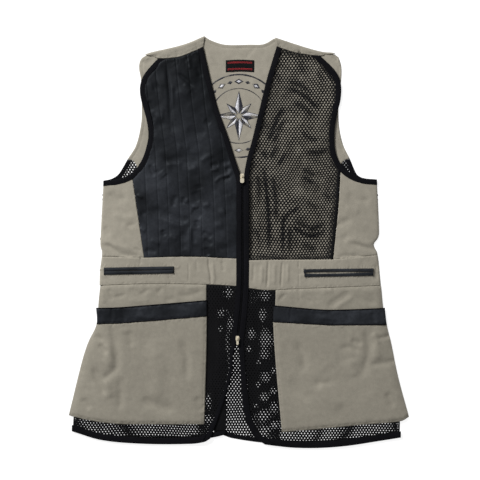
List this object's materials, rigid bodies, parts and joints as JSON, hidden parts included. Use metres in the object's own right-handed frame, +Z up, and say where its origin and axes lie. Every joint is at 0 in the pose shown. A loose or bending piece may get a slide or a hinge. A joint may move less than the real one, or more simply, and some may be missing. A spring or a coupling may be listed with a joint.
{
  "type": "shooting vest",
  "caption": "Sleeveless zip-front shooting vest lying flat, with a quilted leather gun pad, net chest, back and skirt, welt pockets and large patch pockets.",
  "frame": {"origin": "middle of the underside of the bounding box of the vest lying flat", "axes": "+X towards the wearer's left, +Y from the hem to the neck, +Z up from the surface that the vest lies on"},
  "size_m": [0.658, 0.7962, 0.0122],
  "materials": {
    "cotton": "matt woven cotton",
    "mesh": "open knitted net",
    "leather": "semi-gloss",
    "binding": "matt woven tape",
    "zip_plastic": "satin",
    "zip_metal": "pale satin",
    "label": "plain woven"
  },
  "bodies": {
    "vest": {"back_panel": "cotton", "back_mesh_side_right": "mesh", "back_mesh_side_left": "mesh", "back_armhole_binding_right": "binding", "back_armhole_binding_left": "binding", "back_skirt_right": "mesh", "back_skirt_left": "mesh", "back_hem_binding_right": "binding", "back_hem_binding_left": "binding", "neck_label": "label", "shoulder_yoke_right": "cotton", "shoulder_yoke_left": "cotton", "gun_pad": "leather", "chest_mesh": "mesh", "side_panel_right": "cotton", "side_panel_left": "cotton", "waistband_right": "cotton", "waistband_left": "cotton", "front_skirt_right": "mesh", "front_skirt_left": "mesh", "hip_panel_right": "cotton", "hip_panel_left": "cotton", "pocket_right": "cotton", "pocket_left": "cotton", "pocket_trim_right": "leather", "pocket_trim_left": "leather", "armhole_binding_right": "binding", "armhole_binding_left": "binding", "front_binding_right": "binding", "front_binding_left": "binding", "front_hem_binding_right": "binding", "front_hem_binding_left": "binding", "pocket_lip_right_upper": "leather", "pocket_lip_right_lower": "leather", "pocket_lip_left_upper": "leather", "pocket_lip_left_lower": "leather", "zip_chain": "zip_plastic", "zip_slider_top": "zip_metal", "zip_slider_bottom": "zip_metal"},
    "pull_top": {"zip_pull_top": "zip_metal"},
    "pull_bottom": {"zip_pull_bottom": "zip_metal"}
  },
  "joints": [
    {"name": "zip_pull_top", "type": "hinge", "parent": "vest", "child": "pull_top", "pos_m": [0.0062, 0.12711, 0.00986], "axis": [-1, 0, 0], "range_deg": [0, 170]},
    {"name": "zip_pull_bottom", "type": "hinge", "parent": "vest", "child": "pull_bottom", "pos_m": [-0.0028, -0.18589, 0.00995], "axis": [-1, 0, 0], "range_deg": [0, 170]}
  ]
}
